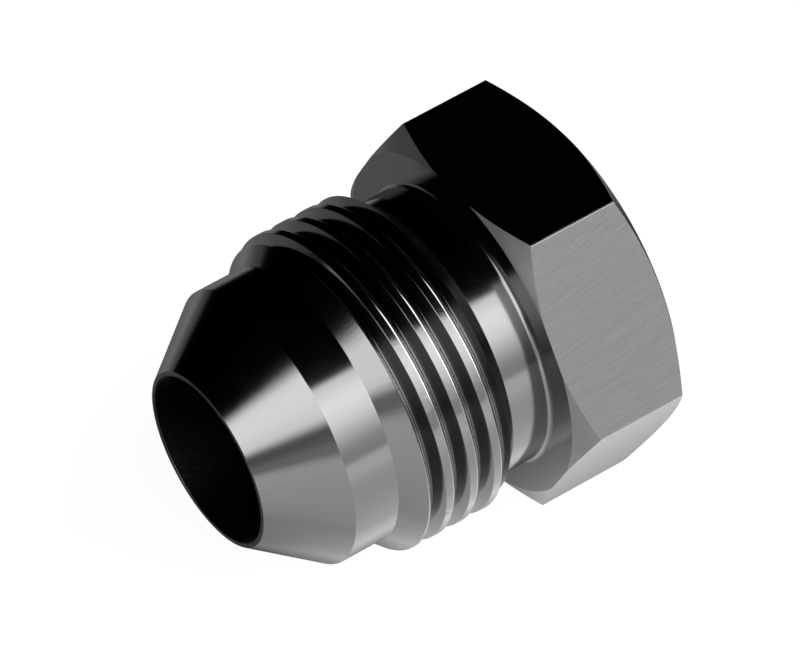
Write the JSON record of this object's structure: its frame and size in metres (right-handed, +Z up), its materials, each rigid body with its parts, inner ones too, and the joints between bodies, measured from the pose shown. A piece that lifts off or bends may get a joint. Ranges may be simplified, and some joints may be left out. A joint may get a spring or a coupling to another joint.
{
  "type": "flare plug",
  "caption": "Flare plug with a hexagon head, relief neck, right-hand external thread and a flare sealing cone round a blind bore, lying on a flat of its head.",
  "frame": {"origin": "on the table under the middle of the part's bounding box", "axes": "+X along the plug from nose to head, +Z up from the table, +Y across the head from corner to corner; the turning axis is tipped 4.80 degrees up towards the head"},
  "size_m": [0.0256, 0.0238, 0.0211],
  "materials": {
    "black_anodised": "black anodised, satin to glossy, with fine turning and bar marks"
  },
  "bodies": {
    "root": {"flare_plug": "black_anodised"}
  },
  "joints": []
}
